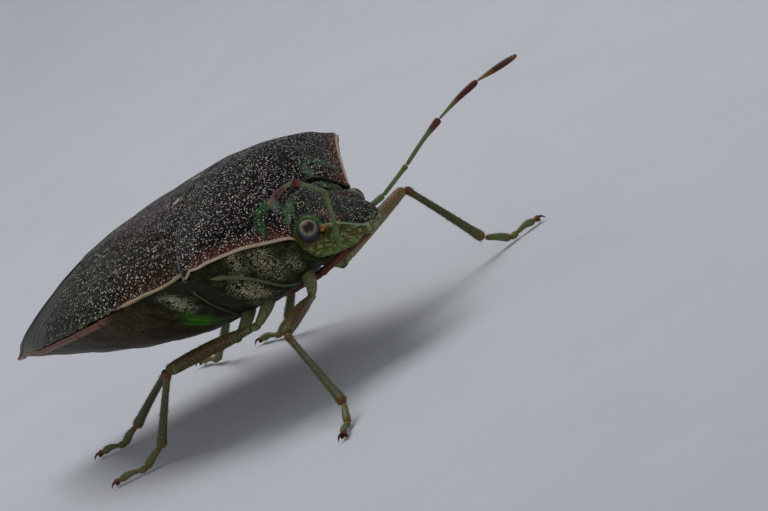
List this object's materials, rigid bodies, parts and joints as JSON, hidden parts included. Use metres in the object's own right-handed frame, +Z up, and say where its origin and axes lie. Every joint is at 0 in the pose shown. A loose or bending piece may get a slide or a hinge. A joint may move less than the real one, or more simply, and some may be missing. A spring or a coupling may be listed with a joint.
{
  "type": "shield bug",
  "caption": "Life-size still model of a shield bug in its brown winter colour, standing on its legs with feelers raised and wings folded flat over its back.",
  "frame": {"origin": "centre of the footprint, at the level of the feet", "axes": "+X to the bug's front, +Y to its left, +Z up"},
  "size_m": [0.0172, 0.0136, 0.0066],
  "materials": {
    "back_cuticle": "dark brown punctured cuticle with pale specks",
    "wing_membrane": "smoky veined wing film, satin",
    "breast_cuticle": "dark green cuticle with cream mottling",
    "belly_cuticle": "olive brown cuticle, finely mottled",
    "head_cuticle": "dark cuticle with green rims and lines",
    "eye_bead": "silvery cream faceted bead with a dark centre",
    "beak_cuticle": "red brown, smooth",
    "feeler_green": "green, finely haired",
    "feeler_red": "yellow green base and dark red end",
    "hip_cuticle": "pale green, satin",
    "thigh_cuticle": "speckled brown with fine pale hairs",
    "shin_cuticle": "green with orange brown ends",
    "foot_cuticle": "green and orange brown with dark claws"
  },
  "bodies": {
    "root": {"pronotum": "back_cuticle", "scutellum": "back_cuticle", "corium_left": "back_cuticle", "corium_right": "back_cuticle", "membrane_left": "wing_membrane", "membrane_right": "wing_membrane", "prothorax": "breast_cuticle", "pterothorax": "breast_cuticle", "abdomen": "belly_cuticle", "head": "head_cuticle", "eye_left": "eye_bead", "eye_right": "eye_bead", "rostrum_base": "beak_cuticle", "rostrum_tip": "beak_cuticle", "antenna_left_1": "feeler_green", "antenna_left_2": "feeler_green", "antenna_left_3": "feeler_green", "antenna_left_4": "feeler_red", "antenna_left_5": "feeler_red", "antenna_right_1": "feeler_green", "antenna_right_2": "feeler_green", "antenna_right_3": "feeler_green", "antenna_right_4": "feeler_red", "antenna_right_5": "feeler_red", "coxa_front_left": "hip_cuticle", "coxa_front_right": "hip_cuticle", "coxa_middle_left": "hip_cuticle", "coxa_middle_right": "hip_cuticle", "coxa_hind_left": "hip_cuticle", "coxa_hind_right": "hip_cuticle", "femur_front_left": "thigh_cuticle", "femur_front_right": "thigh_cuticle", "femur_middle_left": "thigh_cuticle", "femur_middle_right": "thigh_cuticle", "femur_hind_left": "thigh_cuticle", "femur_hind_right": "thigh_cuticle", "tibia_front_left": "shin_cuticle", "tibia_front_right": "shin_cuticle", "tibia_middle_left": "shin_cuticle", "tibia_middle_right": "shin_cuticle", "tibia_hind_left": "shin_cuticle", "tibia_hind_right": "shin_cuticle", "tarsus_front_left": "foot_cuticle", "tarsus_front_right": "foot_cuticle", "tarsus_middle_left": "foot_cuticle", "tarsus_middle_right": "foot_cuticle", "tarsus_hind_left": "foot_cuticle", "tarsus_hind_right": "foot_cuticle"}
  },
  "joints": []
}
